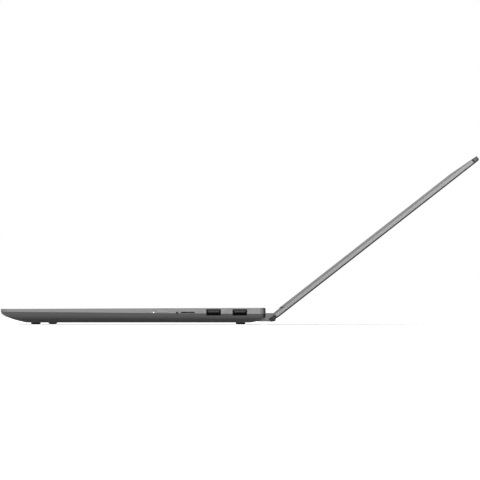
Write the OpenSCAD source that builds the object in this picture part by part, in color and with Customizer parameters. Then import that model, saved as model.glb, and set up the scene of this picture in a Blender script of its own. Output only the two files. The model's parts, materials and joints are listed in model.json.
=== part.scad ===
// Laptop computer, 16-inch class, whose lid turns on two-axis hinge links.
// The right-hand side is +X, the rear is +Y, and the feet stand on z = 0.
// The lid is drawn open; every lid piece is laid out in the lid's own frame and turned about its shaft.

/* [Base] */
// Width of the laptop, side to side
body_w = 356; // [352:1:360]
// Depth of the base, front to rear
base_d = 251.4; // [250:0.1:253]
// Height of the deck above the table at its front edge
deck_front_z = 14.83; // [14.6:0.01:15.1]
// Height of the deck above the table at its rear edge
deck_rear_z = 15.87; // [15.6:0.01:16.1]
// Height of the crease between the two shells at the front
crease_front_z = 12.18; // [11.9:0.01:12.4]
// Height of the crease between the two shells at the rear
crease_rear_z = 10.02; // [9.8:0.01:10.3]
// Corner radius seen from above
corner_r = 6.6; // [6:0.1:7]
// Rounding of the rear top edge
rear_edge_r = 1.2; // [1.1:0.1:1.4]
// Thickness of the side walls
wall = 1.4; // [1.3:0.1:1.5]
// Thickness of the deck and of the bottom skin
skin = 1.2; // [1.1:0.1:1.3]
// How far the underside curves in at the front
front_tuck = 23.5; // [22:0.5:24]
// How far the underside curves in at the rear
rear_tuck = 14.5; // [14:0.1:15]
// How far the underside curves in at the sides
side_tuck = 10; // [9:0.5:10.5]

/* [Feet] */
// Diameter of a foot
foot_d = 9.2; // [8.6:0.1:9.6]
// Height of a foot, which is also the height of the underside
foot_h = 1.8; // [1.7:0.05:1.9]
// Distance of the feet from the centre line
foot_x = 138; // [132:1:140]

/* [Lid] */
// Thickness of the lid at the glass
lid_t = 4.7; // [4.6:0.05:4.8]
// Angle of the open lid above the table, leaning back
lid_lean = 38.02; // [30:0.01:60]
// Rounding of the lid's outer edge
lid_edge_r = 1.7; // [1.5:0.1:1.8]
// How far the chin lies below the glass
chin_drop = 0.6; // [0.6:0.01:0.65]
// Depth of the chin, from the lid's rear edge
chin_d = 18.5; // [18:0.1:19]

/* [Hinge] */
// Distance of the base's hinge axis from the base's front edge
axis_y = 247; // [246.9:0.01:247.1]
// Height of the base's hinge axis
axis_z = 6.61; // [6.58:0.01:6.65]
// Distance between the two axes of a link
link_h = 11.59; // [11.55:0.01:11.62]
// Width of a link
link_w = 26; // [24:0.5:27]
// Distance of a link's middle from the centre line
link_x = 136; // [134:1:137]

/* [Keyboard] */
// Pitch of a letter key
key_unit = 17.62; // [17:0.01:17.65]
// Pitch of a number pad key across
pad_unit = 15.2; // [14.8:0.05:15.2]
// Depth of a key row
row_d = 18.4; // [18:0.05:18.5]
// Depth of the function row
fn_row_d = 13; // [12:0.1:13.2]
// Gap between two keys
key_gap = 2.4; // [2:0.1:2.8]
// Travel of a key
key_travel = 1.3; // [1:0.1:1.3]

/* [Hidden] */
$fn = 64;

half_w = body_w / 2;
deck_tilt = atan((deck_rear_z - deck_front_z) / base_d);
side_sign = [-1, 1];
ring_n = 8;
eps = 0.01;

// the lid: distances from its shaft, along it (u) and across it towards the glass (v)
lid_out = 2.7;
lid_in = lid_t - lid_out;
lid_back = base_d - axis_y;
lid_tip = axis_y;
chin_v = lid_in - chin_drop;
chin_u = chin_d - lid_back;
lid_shaft_y = axis_y + link_h;
lid_rim = 1.6;
gasket_w = 1;
glass_t = 0.7;
panel_t = 1.6;
lid_skin = 0.9;

// the origin stands under the middle of the open laptop, whose rearmost point is on the lid tip's rounding
tip_y = lid_shaft_y + (lid_tip - lid_edge_r) * cos(lid_lean)
    + (lid_out - lid_edge_r) * sin(lid_lean) + lid_edge_r;
middle_y = tip_y / 2;

// links and shafts
link_front = 4.3;
link_rear = 3.9;
link_end = 4.2;
link_round = 1.4;
base_shaft_r = 1.25;
lid_shaft_r = 1;
running_gap = 0.05;
notch_gap = 0.4;
notch_w = link_w + 2 * notch_gap;
base_notch_d = base_d - axis_y + 5.8;
lid_notch_u = 5;
notch_wall = 1.2;
barrel_r = 2.1;
leaf_screw_u = [8, 13];
mount_arm = [245, 249];
mount_plate_z = [13, 14.5];
mount_screw_y = 241.5;
leaf_barrel_r = 1.38;
inner_mount = [link_x - notch_w / 2 - notch_wall - 23, link_x - notch_w / 2 - notch_wall - 0.1];
outer_mount = [link_x + notch_w / 2 + notch_wall + 0.1, link_x + notch_w / 2 + notch_wall + 9];

// keyboard
key_top = -0.2;
key_t = 1.5;
key_round = 1.2;
key_clear = 0.4;
kb_x0 = -161;
kb_front = 124.6;
main_units = 14.75;
pad_x0 = kb_x0 + main_units * key_unit + 1.3;
kb_x1 = pad_x0 + 4 * pad_unit;
kb_rear = kb_front + 5 * row_d + fn_row_d;
frame_t = 0.7;
frame_edge = 1.6;
frame_end = 2;
plate_top = key_top - key_t - key_travel - 0.15;
plate_t = 0.9;

// touchpad
pad_centre_x = -30;
pad_w = 136;
pad_front = 22;
pad_rear = 104;
pad_gap = 0.5;
pad_t = 1.2;

// feet, with a domed lower face
front_foot_y = 31.2;
rear_foot_y = 227.6;
foot_flat_r = 2.8;
foot_dome_h = 1.3;

// right side, from front to rear
lamp_y = 145.2;
lamp_r = 0.5;
spot_y = 139.8;
spot_r = 0.35;
button_y0 = 147.5;
button_y1 = 158.8;
button_z = 12.75;
button_h = 2.2;
hole_y = 167.5;
hole_z = 11.2;
hole_r = 0.95;
card_y0 = 170.9;
card_y1 = 184.2;
card_z = 11.5;
card_h = 1.1;
usb_a_y = [202, 226.9];
usb_a_z = 11.55;
usb_a_cut = [13.9, 6.1];
usb_a_shell = [13.2, 5.7];
usb_a_depth = 14;
usb_a_tongue_w = 11;
port_recess = 0.8;
port_back = 1;
port_wall = 0.35;

// left side
usb_c_y = [176, 191];
usb_c_z = 12;
usb_c_size = [9, 3.3];
usb_c_depth = 9;
usb_c_wall = 0.3;
usb_c_tongue = [6.6, 0.7];
hdmi_y = 213;
hdmi_z = 11.6;
hdmi_size = [15, 5.6];
hdmi_depth = 11;
hdmi_tongue = [12, 1.2];
jack_y = 157;
jack_z = 11.6;
jack_r = 2.5;
jack_bore_r = 1.8;
jack_len = 13.5;

// bottom screws, as places across and along, and the height where each boss starts
screw_places = [
    for (x = [-160, -100, 100, 160]) [x, 31, 3.02],
    for (x = [-160, -60, 60, 160]) [x, 116.5, 3.02],
    for (x = [-92, 0, 92]) [x, 234.4, 3.92]
];
screw_head_r = 2.2;
screw_head_t = 0.8;
screw_r = 0.9;
boss_r = 2.6;

// insides
floor_z = foot_h + skin;
fan_x = 60;
fan_y = 197;
fan_size = 58;
fan_z0 = 4;
fan_z1 = 10;
fan_skin = 0.6;
blade_n = 21;
blade_tip_r = 25.5;
board_z0 = 5.5;
board_z1 = 6.7;
fins_y0 = 226.5;
fins_y1 = 239;

// Height of the crease at a distance from the front
function crease(y) = crease_front_z + (crease_rear_z - crease_front_z) * y / base_d;
// Sum of the entries before one place in a list
function before(v, i) = i == 0 ? 0 : v[i - 1] + before(v, i - 1);
// Points of an arc
function arc(cx, cy, r, a0, a1, n) = [
    for (i = [0:n]) [cx + r * cos(a0 + (a1 - a0) * i / n), cy + r * sin(a0 + (a1 - a0) * i / n)]
];
// Outline of a rectangle with small rounded corners
function soft_rect(x0, x1, y0, y1, r, n = 3) = concat(
    arc(x1 - r, y1 - r, r, 0, 90, n), arc(x0 + r, y1 - r, r, 90, 180, n),
    arc(x0 + r, y0 + r, r, 180, 270, n), arc(x1 - r, y0 + r, r, 270, 360, n));

// Rectangle with true round corners
module round_rect(x0, x1, y0, y1, r) {
    translate([x0 + r, y0]) square([x1 - x0 - 2 * r, y1 - y0]);
    translate([x0, y0 + r]) square([x1 - x0, y1 - y0 - 2 * r]);
    for (x = [x0 + r, x1 - r], y = [y0 + r, y1 - r]) translate([x, y]) circle(r);
}

// Plate with true round corners
module slab(x0, x1, y0, y1, z0, z1, r) {
    translate([0, 0, z0]) linear_extrude(z1 - z0) round_rect(x0, x1, y0, y1, r);
}

// Plate with small rounded corners
module soft_slab(x0, x1, y0, y1, z0, z1, r) {
    translate([0, 0, z0]) linear_extrude(z1 - z0) polygon(soft_rect(x0, x1, y0, y1, r));
}

// Box between two corners
module block(x0, x1, y0, y1, z0, z1) {
    translate([x0, y0, z0]) cube([x1 - x0, y1 - y0, z1 - z0]);
}

// A side outline drawn as (y, z), carried along X
module along_x(x0, x1) {
    translate([x0, 0, 0]) rotate([90, 0, 90]) linear_extrude(x1 - x0) children();
}

// Cylinder along X
module rod(x0, x1, y, z, r) {
    translate([x0, y, z]) rotate([0, 90, 0]) cylinder(h = x1 - x0, r = r);
}

// Base pieces, moved so that the origin is under the middle of the open laptop
module in_base() {
    translate([0, -middle_y, 0]) children();
}

// The deck's own frame: z = 0 on the deck, y from the front edge
module on_deck() {
    in_base() translate([0, 0, deck_front_z]) rotate([deck_tilt, 0, 0]) children();
}

// The lid's frame: y along the lid from its shaft, z towards the glass
module in_lid() {
    in_base() translate([0, lid_shaft_y, axis_z]) rotate([lid_lean, 0, 0]) children();
}

// ---- base shells ----

module plan(inset) {
    round_rect(-half_w + inset, half_w - inset, inset, base_d - inset, corner_r - inset);
}

// How far the lower shell is curved in at the front, sides and rear, t = 0 at the crease and 1 at the bottom
function tuck_front(t) = front_tuck * pow(t, 2);
function tuck_side(t) = side_tuck * pow(t, 2.5);
function tuck_rear(t) = rear_tuck * pow(t, 4);

// One level of the lower shell's outside
function shell_ring(t) = [
    for (p = soft_rect(-half_w + tuck_side(t), half_w - tuck_side(t), tuck_front(t), base_d - tuck_rear(t),
        corner_r + tuck_side(t) / 2, ring_n))
    [p[0], p[1], foot_h + (1 - t) * (crease(p[1]) - foot_h)]];

// Solid skinned over rings of equal length, from the lowest to the highest
module skinned(rings) {
    n = len(rings[0]);
    top = len(rings) - 1;
    polyhedron(
        points = [for (ring = rings, p = ring) p],
        faces = concat(
            [for (i = [1:n - 2]) [0, i, i + 1]],
            [for (k = [0:top - 1], i = [0:n - 1]) [k * n + i, (k + 1) * n + i, (k + 1) * n + (i + 1) % n]],
            [for (k = [0:top - 1], i = [0:n - 1])
                [k * n + i, (k + 1) * n + (i + 1) % n, k * n + (i + 1) % n]],
            [for (i = [1:n - 2]) [top * n, top * n + i + 1, top * n + i]]));
}

// Lower shell's curved body, up to the crease
module shell_body() {
    skinned([for (t = [1, 0.93, 0.84, 0.74, 0.62, 0.48, 0.32, 0.16, 0]) shell_ring(t)]);
}

// Inside of the lower shell, in steps that keep a wall and a skin from its curve
module shell_cavity() {
    for (z = [floor_z, 3.9, 5.2, 7, 9]) {
        t_front = (crease(0) - z + skin) / (crease(0) - foot_h);
        t_rear = (crease(base_d) - z + skin) / (crease(base_d) - foot_h);
        side = half_w - tuck_side(t_rear) - wall;
        soft_slab(-side, side, tuck_front(t_front) + wall, base_d - tuck_rear(t_rear) - wall, z, 20,
            corner_r - wall);
    }
}

module hinge_notches() {
    for (sx = side_sign)
        block(sx * link_x - notch_w / 2, sx * link_x + notch_w / 2, base_d - base_notch_d, base_d + 1, 0, 20);
}

// Walls that close the shells around the notches
module notch_walls() {
    for (sx = side_sign)
        block(sx * link_x - notch_w / 2 - notch_wall, sx * link_x + notch_w / 2 + notch_wall,
            base_d - base_notch_d - notch_wall, base_d, 0, 20);
}

// Room for the hinge mounts in the lower shell
module mount_pockets() {
    for (s = [0, 1], m = [inner_mount, outer_mount]) mirror([s, 0, 0]) {
        rod(m[0] - 0.1, m[1] + 0.1, axis_y, axis_z, barrel_r + 0.1);
        block(m[0] - 0.1, m[1] + 0.1, mount_arm[0] - 0.1, mount_arm[1] + 0.1, 6.4, 20);
    }
}

module shaft_holes() {
    for (sx = side_sign)
        rod(sx * link_x - 30, sx * link_x + 30, axis_y, axis_z, base_shaft_r + 0.15);
}

// Everything cut from both shells for the ports and holes in the sides
module side_cuts() {
    for (y = usb_a_y)
        along_x(half_w - 4, half_w + 1) polygon(soft_rect(y - usb_a_cut[0] / 2, y + usb_a_cut[0] / 2,
            usb_a_z - usb_a_cut[1] / 2, usb_a_z + usb_a_cut[1] / 2, 0.6));
    along_x(half_w - 4, half_w + 1)
        polygon(soft_rect(card_y0, card_y1, card_z - card_h / 2, card_z + card_h / 2, 0.3));
    rod(half_w - 4, half_w + 1, hole_y, hole_z, hole_r);
    for (y = usb_c_y)
        along_x(-half_w - 1, -half_w + 4) polygon(soft_rect(y - usb_c_size[0] / 2 - 0.3,
            y + usb_c_size[0] / 2 + 0.3, usb_c_z - usb_c_size[1] / 2 - 0.3,
            usb_c_z + usb_c_size[1] / 2 + 0.3, 1.9, 6));
    along_x(-half_w - 1, -half_w + 4) polygon(soft_rect(hdmi_y - hdmi_size[0] / 2 - 0.3,
        hdmi_y + hdmi_size[0] / 2 + 0.3, hdmi_z - hdmi_size[1] / 2 - 0.3,
        hdmi_z + hdmi_size[1] / 2 + 0.3, 0.7));
    rod(-half_w - 1, -half_w + 4, jack_y, jack_z, jack_r + 0.1);
}

// Exhaust slots in the rear wall, behind the fins
module exhaust_cuts() {
    for (sx = side_sign, i = [-5:5])
        block(sx * fan_x + i * 5 - 1.8, sx * fan_x + i * 5 + 1.8, base_d - 3.5, base_d + 1, 7.2, 9.4);
}

// Upper shell: the deck, the light side band and the screw bosses under it
module top_case() color("#b4b4b4") in_base() difference() {
    union() {
        difference() {
            intersection() {
                along_x(-half_w, half_w)
                    polygon(concat([[0, crease(0)], [base_d, crease(base_d)]],
                        arc(base_d - rear_edge_r, deck_rear_z - rear_edge_r, rear_edge_r, 0, 90, 6),
                        [[0, deck_front_z]]));
                linear_extrude(20) plan(0);
            }
            difference() {
                intersection() {
                    along_x(-half_w, half_w) polygon([[0, 0], [base_d, 0], [base_d, deck_rear_z - skin],
                        [0, deck_front_z - skin]]);
                    linear_extrude(20) plan(wall);
                }
                notch_walls();
            }
        }
        for (p = screw_places)
            intersection() {
                translate(p) cylinder(h = 13, r = boss_r);
                along_x(-half_w, half_w) polygon([[0, 0], [base_d, 0], [base_d, deck_rear_z - skin / 2],
                    [0, deck_front_z - skin / 2]]);
            }
    }
    hinge_notches();
    shaft_holes();
    side_cuts();
    exhaust_cuts();
    for (p = screw_places) translate([p[0], p[1], 0]) cylinder(h = 9, r = screw_r + 0.05);
    translate([0, 0, deck_front_z]) rotate([deck_tilt, 0, 0]) {
        soft_slab(kb_x0 - 0.3, kb_x1 + 0.3, kb_front - 0.3, kb_rear + 0.3, -3, 1, 2);
        soft_slab(pad_centre_x - pad_w / 2 - pad_gap, pad_centre_x + pad_w / 2 + pad_gap,
            pad_front - pad_gap, pad_rear + pad_gap, -3, 1, 2);
    }
    along_x(half_w - 3, half_w + 1) polygon(soft_rect(button_y0 - 0.15, button_y1 + 0.15,
        button_z - button_h / 2 - 0.15, button_z + button_h / 2 + 0.15, 0.9));
    rod(half_w - 3, half_w + 1, lamp_y, card_z, lamp_r + eps);
    rod(half_w - 3, half_w + 1, spot_y, card_z, spot_r);
}

// Lower shell, curved in on all sides, with the intake and speaker slots
module bottom_case() color("#6a6a6a") in_base() difference() {
    shell_body();
    difference() {
        shell_cavity();
        notch_walls();
    }
    hinge_notches();
    mount_pockets();
    shaft_holes();
    side_cuts();
    exhaust_cuts();
    for (sx = side_sign) {
        for (i = [0:8]) block(sx * fan_x - 24, sx * fan_x + 24, 176 + i * 5, 178.2 + i * 5, 0, 4);
        for (i = [0:5]) block(sx * 159 - 1, sx * 159 + 1, 48 + i * 8, 53 + i * 8, 0, 4);
    }
    for (p = screw_places) translate([p[0], p[1], 0]) {
        cylinder(h = foot_h + screw_head_t, r = screw_head_r + 0.05);
        cylinder(h = 5, r = screw_r + 0.1);
    }
}

module bottom_screws() color("#3c3c3c") in_base() for (p = screw_places) translate([p[0], p[1], foot_h])
    difference() {
        union() {
            cylinder(h = screw_head_t, r = screw_head_r);
            cylinder(h = 5, r = screw_r);
        }
        translate([0, 0, -eps]) cylinder(h = 0.5, r = 0.8, $fn = 6);
    }

// Domed foot: a flat rest, a curved side and a straight top
module foot(x, y) {
    r = foot_d / 2;
    translate([x, y, 0]) rotate_extrude() polygon(concat([[0, foot_h], [0, 0], [foot_flat_r, 0]],
        [for (i = [1:5])
            [foot_flat_r + (r - foot_flat_r) * sin(i * 18), foot_dome_h * (1 - cos(i * 18))]],
        [[r, foot_h]]));
}

module front_feet() color("#2c2c2c") in_base() for (sx = side_sign) foot(sx * foot_x, front_foot_y);

module rear_feet() color("#2c2c2c") in_base() for (sx = side_sign) foot(sx * foot_x, rear_foot_y);

// ---- keyboard ----

// Keys of a row as [left edge, front edge, width, depth], between two places in its list of widths
function row_of(widths, row, from, to) = [for (i = [from:to])
    [kb_x0 + before(widths, i) * key_unit, kb_front + row * row_d, widths[i] * key_unit, row_d]];

fn_widths = [for (i = [0:14]) main_units / 15];
number_widths = [for (i = [0:13]) i == 13 ? 1.75 : 1];
upper_widths = [for (i = [0:13]) i == 0 ? 1.5 : i == 13 ? 1.25 : 1];
home_widths = [for (i = [0:12]) i == 0 ? 1.75 : i == 12 ? 2 : 1];
lower_widths = [for (i = [0:11]) i == 0 ? 2.25 : i == 11 ? 2.5 : 1];
bottom_widths = [1.25, 1, 1, 1, 5.25, 1, 1.25, 1, 1, 1];
arrow_x = kb_x0 + before(bottom_widths, 7) * key_unit;

function_keys = [for (i = [0:14])
    [kb_x0 + before(fn_widths, i) * key_unit, kb_front + 5 * row_d, fn_widths[i] * key_unit, fn_row_d]];
number_keys = row_of(number_widths, 4, 0, 13);
upper_keys = row_of(upper_widths, 3, 0, 13);
home_keys = row_of(home_widths, 2, 0, 11);
return_keys = row_of(home_widths, 2, 12, 12);
lower_keys = row_of(lower_widths, 1, 0, 11);
bottom_keys = concat(row_of(bottom_widths, 0, 0, 3), row_of(bottom_widths, 0, 5, 6));
space_keys = row_of(bottom_widths, 0, 4, 4);
cursor_keys = [
    [arrow_x, kb_front, key_unit, row_d / 2],
    [arrow_x + key_unit, kb_front, key_unit, row_d / 2],
    [arrow_x + 2 * key_unit, kb_front, key_unit, row_d / 2],
    [arrow_x + key_unit, kb_front + row_d / 2, key_unit, row_d / 2]
];
pad_keys = concat(
    [for (i = [0:3]) [pad_x0 + i * pad_unit, kb_front + 5 * row_d, pad_unit, fn_row_d]],
    [for (i = [0:3]) [pad_x0 + i * pad_unit, kb_front + 4 * row_d, pad_unit, row_d]],
    [for (j = [1:3], i = [0:2]) [pad_x0 + i * pad_unit, kb_front + j * row_d, pad_unit, row_d]],
    [[pad_x0, kb_front, 2 * pad_unit, row_d], [pad_x0 + 2 * pad_unit, kb_front, pad_unit, row_d]],
    [for (j = [0, 2]) [pad_x0 + 3 * pad_unit, kb_front + j * row_d, pad_unit, 2 * row_d]]);
all_keys = concat(function_keys, number_keys, upper_keys, home_keys, return_keys, lower_keys, bottom_keys,
    space_keys, cursor_keys, pad_keys);

// Outline of a key, grown by a clearance for its hole
module key_outline(k, grow) {
    inset = key_gap / 2 - grow;
    polygon(soft_rect(k[0] + inset, k[0] + k[2] - inset, k[1] + inset, k[1] + k[3] - inset, key_round));
}

module caps(keys) {
    on_deck() for (k = keys) translate([0, 0, key_top - key_t]) linear_extrude(key_t) key_outline(k, 0);
}

module keyboard_frame() color("#8c8c8c") on_deck() translate([0, 0, -skin - frame_t - 0.02])
    linear_extrude(frame_t) difference() {
        polygon(soft_rect(kb_x0 - frame_edge, kb_x1 + frame_edge,
            kb_front - frame_end, kb_rear + frame_end, 2));
        for (k = all_keys) key_outline(k, key_clear);
    }

module keyboard_plate() color("#5a5a5a") on_deck()
    soft_slab(kb_x0 - frame_edge, kb_x1 + frame_edge, kb_front - frame_end, kb_rear + frame_end,
        plate_top - plate_t, plate_top, 2);

module function_row() color("#3a3a3a") caps(function_keys);
module number_row() color("#3a3a3a") caps(number_keys);
module upper_row() color("#3a3a3a") caps(upper_keys);
module home_row() color("#3a3a3a") caps(home_keys);
module lower_row() color("#3a3a3a") caps(lower_keys);
module bottom_row() color("#3a3a3a") caps(bottom_keys);
module space_bar() color("#3a3a3a") caps(space_keys);
module enter_key() color("#3a3a3a") caps(return_keys);
module arrow_keys() color("#3a3a3a") caps(cursor_keys);
module number_pad() color("#3a3a3a") caps(pad_keys);

module touchpad() color("#9a9a9a") on_deck()
    soft_slab(pad_centre_x - pad_w / 2, pad_centre_x + pad_w / 2, pad_front, pad_rear,
        -0.1 - pad_t, -0.1, 1.6);

// ---- right side ----

module power_button() color("#a8a8a8") in_base() union() {
    along_x(half_w - 1.6, half_w - 0.1)
        polygon(soft_rect(button_y0, button_y1, button_z - button_h / 2, button_z + button_h / 2, 0.8));
    block(half_w - 2.6, half_w - 1.6, button_y0 + 3, button_y1 - 3, button_z - 0.8, button_z + 0.8);
}

// Metal sleeve of a port, open at the side wall
module usb_a_shell(y) {
    x0 = half_w - port_recess - usb_a_depth;
    difference() {
        along_x(x0, half_w - port_recess) polygon(soft_rect(y - usb_a_shell[0] / 2, y + usb_a_shell[0] / 2,
            usb_a_z - usb_a_shell[1] / 2, usb_a_z + usb_a_shell[1] / 2, 0.5));
        block(x0 + port_back, half_w, y - usb_a_shell[0] / 2 + port_wall, y + usb_a_shell[0] / 2 - port_wall,
            usb_a_z - usb_a_shell[1] / 2 + port_wall, usb_a_z + usb_a_shell[1] / 2 - port_wall);
    }
}

module usb_a_shells() color("#7d7d7d") in_base() for (y = usb_a_y) usb_a_shell(y);

module usb_a_tongues() color("#303030") in_base() for (y = usb_a_y)
    block(half_w - port_recess - usb_a_depth + port_back + 2 * eps, half_w - 2.6,
        y - usb_a_tongue_w / 2, y + usb_a_tongue_w / 2, usb_a_z + 0.2, usb_a_z + 2);

module card_reader() color("#4a4a4a") in_base() difference() {
    block(half_w - 15.2, half_w - 1.9, card_y0 - 1, card_y1 + 1, card_z - 1.4, card_z + 1.4);
    block(half_w - 14.4, half_w, card_y0 + 0.1, card_y1 - 0.1, card_z - card_h / 2, card_z + card_h / 2);
}

module status_lamp() color("#f4f4f4") in_base() rod(half_w - 1.6, half_w - 0.05, lamp_y, card_z, lamp_r);

// ---- left side ----

module left_shell(y, z, size, depth, r, t) {
    x1 = -half_w + port_recess + depth;
    difference() {
        along_x(-half_w + port_recess, x1)
            polygon(soft_rect(y - size[0] / 2, y + size[0] / 2, z - size[1] / 2, z + size[1] / 2, r, 6));
        along_x(-half_w, x1 - port_back)
            polygon(soft_rect(y - size[0] / 2 + t, y + size[0] / 2 - t,
                z - size[1] / 2 + t, z + size[1] / 2 - t, r - t, 6));
    }
}

module usb_c_shells() color("#8a8a8a") in_base()
    for (y = usb_c_y) left_shell(y, usb_c_z, usb_c_size, usb_c_depth, 1.6, usb_c_wall);

module usb_c_tongues() color("#303030") in_base() for (y = usb_c_y)
    block(-half_w + 2, -half_w + port_recess + usb_c_depth - port_back - 2 * eps,
        y - usb_c_tongue[0] / 2, y + usb_c_tongue[0] / 2,
        usb_c_z - usb_c_tongue[1] / 2, usb_c_z + usb_c_tongue[1] / 2);

module hdmi_shell() color("#8a8a8a") in_base()
    left_shell(hdmi_y, hdmi_z, hdmi_size, hdmi_depth, 0.6, port_wall);

module hdmi_tongue() color("#303030") in_base()
    block(-half_w + 2.4, -half_w + port_recess + hdmi_depth - port_back - 2 * eps,
        hdmi_y - hdmi_tongue[0] / 2, hdmi_y + hdmi_tongue[0] / 2,
        hdmi_z - hdmi_tongue[1] / 2, hdmi_z + hdmi_tongue[1] / 2);

module audio_jack() color("#3a3a3a") in_base() difference() {
    union() {
        rod(-half_w + 0.3, -half_w + jack_len, jack_y, jack_z, jack_r);
        block(-half_w + 2, -half_w + jack_len, jack_y - 3, jack_y + 3, jack_z - jack_r, jack_z);
    }
    rod(-half_w - 1, -half_w + jack_len - 1, jack_y, jack_z, jack_bore_r);
}

// ---- inside the base ----

module main_board() color("#2f4a38") in_base() union() {
    block(-150, 120, 122, 164, board_z0, board_z1);
    block(-28, 28, 163, 226, board_z0, board_z1);
}

module side_board() color("#2f4a38") in_base() block(146, 173, 164.5, 236, 7.4, 8.6);

module board_ribbon() color("#c8c8c8") in_base() translate([0, 152, 0]) rotate([90, 0, 0])
    translate([0, 0, -6]) linear_extrude(12) polygon([[112, 6.75], [122, 6.75], [143, 8.65], [156, 8.65],
        [156, 8.95], [142.9, 8.95], [121.9, 7.05], [112, 7.05]]);

module processor() color("#55595c") in_base() union() {
    block(-22, 22, 172, 197, board_z1 + 0.02, board_z1 + 1);
    block(-9, 9, 176, 193, board_z1 + 1, 9.98);
}

module heat_pipe() color("#b07a55") in_base() union() {
    block(-86, 86, 223, 230, 10.02, 11.2);
    block(-5, 5, 174, 224, 10.02, 11.2);
}

module heat_sink_fins() color("#a9adb0") in_base() for (sx = side_sign) union() {
    block(sx * fan_x - 27, sx * fan_x + 27, fins_y0, fins_y1, 9.6, 10);
    for (i = [0:17])
        block(sx * fan_x - 26.8 + i * 3.1, sx * fan_x - 26.2 + i * 3.1, fins_y0, fins_y1, 4, 9.7);
}

module fan_housings() color("#2b2b2b") in_base() for (sx = side_sign) translate([sx * fan_x, fan_y, 0])
    difference() {
        block(-fan_size / 2, fan_size / 2, -fan_size / 2, fan_size / 2, fan_z0, fan_z1);
        translate([0, 0, fan_z0 + fan_skin]) cylinder(h = fan_z1 - fan_z0 - 2 * fan_skin, r = 27);
        translate([0, 0, fan_z0 - 1]) cylinder(h = 3, r = 19);
        block(-24, 24, 10, 40, fan_z0 + fan_skin, fan_z1 - fan_skin);
    }

// Fan rotor: a hub that covers the motor and a ring of straight blades
module fan_rotor(x) {
    in_base() translate([x, fan_y, fan_z0 + 1]) union() {
        cylinder(h = 4, r = 10);
        for (i = [0:blade_n - 1]) rotate([0, 0, i * 360 / blade_n])
            block(9, blade_tip_r, -0.4, 0.4, 0.4, 3.6);
    }
}

module fan_rotor_left() color("#3d3d3d") fan_rotor(-fan_x);
module fan_rotor_right() color("#3d3d3d") fan_rotor(fan_x);

module battery_pack() color("#38383c") in_base() union() {
    for (i = [-2:1]) block(i * 75 + 0.6, i * 75 + 74.4, 36, 104, 3.2, 8.8);
    block(-150, 150, 104, 110, 3.2, 6);
    block(-149, 149, 103, 105, 3.2, 8);
}

module solid_state_drive() color("#27353c") in_base() block(-122, -42, 126, 148, board_z1 + 0.02, 8.9);

module memory_modules() color("#27353c") in_base() for (x = [10, 48])
    block(x, x + 32, 128, 146, board_z1 + 0.02, 8.4);

module wireless_card() color("#6d7276") in_base() block(88, 110, 128, 158, board_z1 + 0.02, 8.6);

module speakers() color("#262626") in_base() for (sx = side_sign)
    block(min(sx * 152, sx * 165), max(sx * 152, sx * 165), 44, 104, 4, 9);

// ---- hinge ----

// One cranked mount under the deck with its barrel on the base's hinge axis
module hinge_mount(x0, x1, plate_y0) {
    difference() {
        union() {
            block(x0, x1, plate_y0, mount_arm[1], mount_plate_z[0], mount_plate_z[1]);
            block(x0, x1, mount_arm[0], mount_arm[1], axis_z, mount_plate_z[0] + 0.5);
            rod(x0, x1, axis_y, axis_z, barrel_r);
        }
        rod(x0 - 1, x1 + 1, axis_y, axis_z, base_shaft_r + 0.02);
        for (x = [x0 + 4, x1 - 4]) if (x1 - x0 > 12)
            translate([x, mount_screw_y, 12]) cylinder(h = 4, r = 1.05);
    }
}

module hinge_mounts() color("#77797b") in_base() for (s = [0, 1]) mirror([s, 0, 0]) {
    hinge_mount(inner_mount[0], inner_mount[1], 238);
    hinge_mount(outer_mount[0], outer_mount[1], 241);
}

module hinge_mount_screws() color("#444444") in_base()
    for (s = [0, 1], x = [inner_mount[0] + 4, inner_mount[1] - 4])
    mirror([s, 0, 0]) translate([x, mount_screw_y, 0]) {
        translate([0, 0, 12.2]) cylinder(h = 0.78, r = 1.8);
        translate([0, 0, 12.2]) cylinder(h = 2.3, r = 1);
    }

module hinge_shafts() color("#b9bbbd") in_base() for (s = [0, 1]) mirror([s, 0, 0])
    rod(inner_mount[0] + 1, outer_mount[1] - 0.5, axis_y, axis_z, base_shaft_r);

// Link at rest: it points straight back from the base's axis to the lid's axis
module hinge_link(sx) {
    in_base() difference() {
        along_x(sx * link_x - link_w / 2, sx * link_x + link_w / 2)
            round_rect(axis_y - link_end, lid_shaft_y + lid_out, axis_z - link_rear, axis_z + link_front,
                link_round);
        rod(sx * link_x - 20, sx * link_x + 20, axis_y, axis_z, base_shaft_r + running_gap);
        rod(sx * link_x - 20, sx * link_x + 20, lid_shaft_y, axis_z, lid_shaft_r + running_gap);
    }
}

module hinge_link_left() color("#808080") hinge_link(-1);
module hinge_link_right() color("#808080") hinge_link(1);

module lid_shafts() color("#b9bbbd") in_base() for (s = [0, 1]) mirror([s, 0, 0])
    rod(link_x - link_w / 2 - 12, link_x + link_w / 2 + 10, lid_shaft_y, axis_z, lid_shaft_r);

// ---- lid ----

// One level of the lid's outside
function lid_ring(v, inset) = [
    for (p = soft_rect(-half_w + inset, half_w - inset, -lid_back + inset, lid_tip - inset,
        corner_r - inset, ring_n))
    [p[0], p[1], v]];

module lid_notches() {
    for (sx = side_sign)
        block(sx * link_x - notch_w / 2, sx * link_x + notch_w / 2, -lid_back - 1, lid_notch_u, -5, 5);
}

module lid_notch_walls() {
    for (sx = side_sign)
        block(sx * link_x - notch_w / 2 - notch_wall, sx * link_x + notch_w / 2 + notch_wall,
            -lid_back - 1, lid_notch_u + notch_wall, -5, 5);
}

module lid_shaft_holes(r) {
    for (sx = side_sign) rod(sx * link_x - 26, sx * link_x + 24, 0, 0, r);
}

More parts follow.
